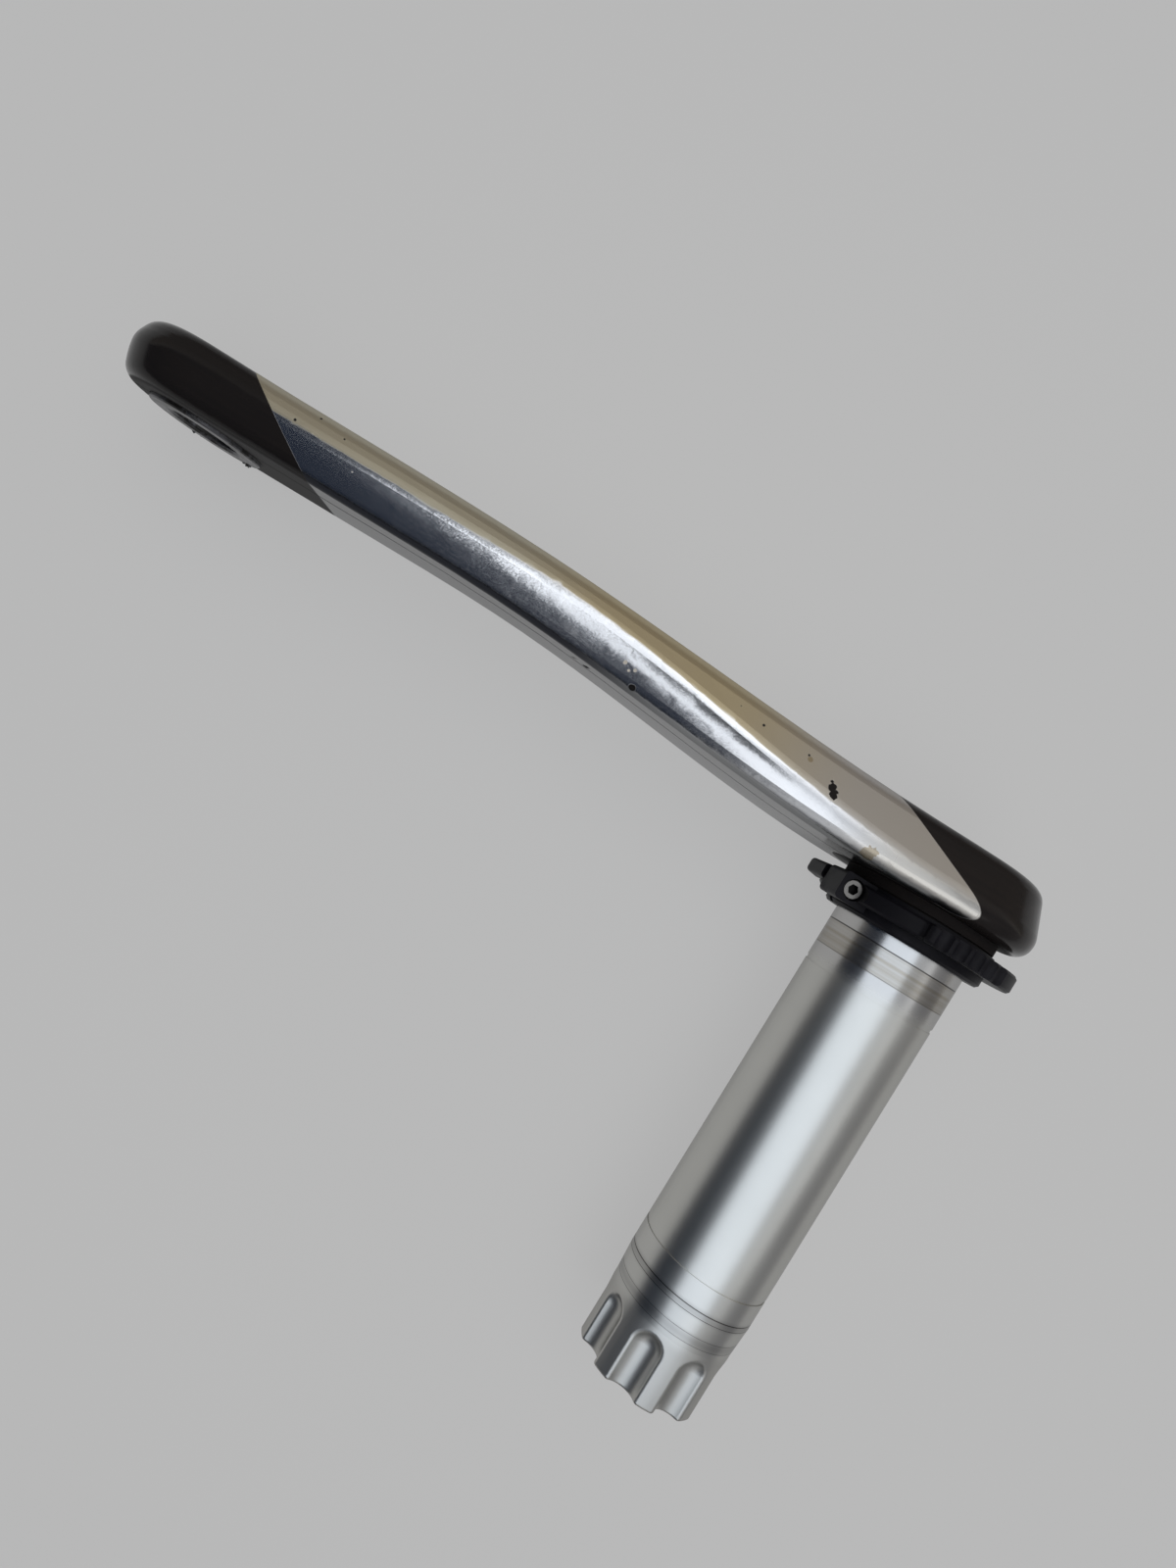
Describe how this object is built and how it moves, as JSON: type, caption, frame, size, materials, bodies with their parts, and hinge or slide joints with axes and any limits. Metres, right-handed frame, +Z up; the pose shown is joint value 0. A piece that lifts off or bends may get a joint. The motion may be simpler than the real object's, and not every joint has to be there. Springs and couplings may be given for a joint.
{
  "type": "bicycle crank arm",
  "caption": "Left bicycle crank arm of fibre composite with a hollow spindle, fluted at its free end, a clamped preload ring and a threaded pedal insert.",
  "frame": {"origin": "on the spindle axis, in the plane of the preload ring's bearing face, where the near bearing seat begins", "axes": "+X from the spindle to the pedal, +Y along the spindle to its fluted end, +Z up as the arm lies on its side"},
  "size_m": [0.2138, 0.1332, 0.046],
  "materials": {
    "arm_finish": "bright metallic film over glossy black fibre composite, black at both ends",
    "insert_metal": "dark anodised",
    "spindle_metal": "satin blasted, turned bright at the bearing seats",
    "ring_plastic": "matte black moulding",
    "bolt_steel": "plain steel"
  },
  "bodies": {
    "arm": {"crank_arm": "arm_finish", "pedal_insert": "insert_metal", "spindle": "spindle_metal"},
    "ring": {"preload_ring": "ring_plastic", "pinch_bolt": "bolt_steel"}
  },
  "joints": [
    {"name": "preload_ring_turn", "type": "hinge", "parent": "arm", "child": "ring", "pos_m": [0, 0, 0], "axis": [0, 1, 0], "continuous": true}
  ]
}
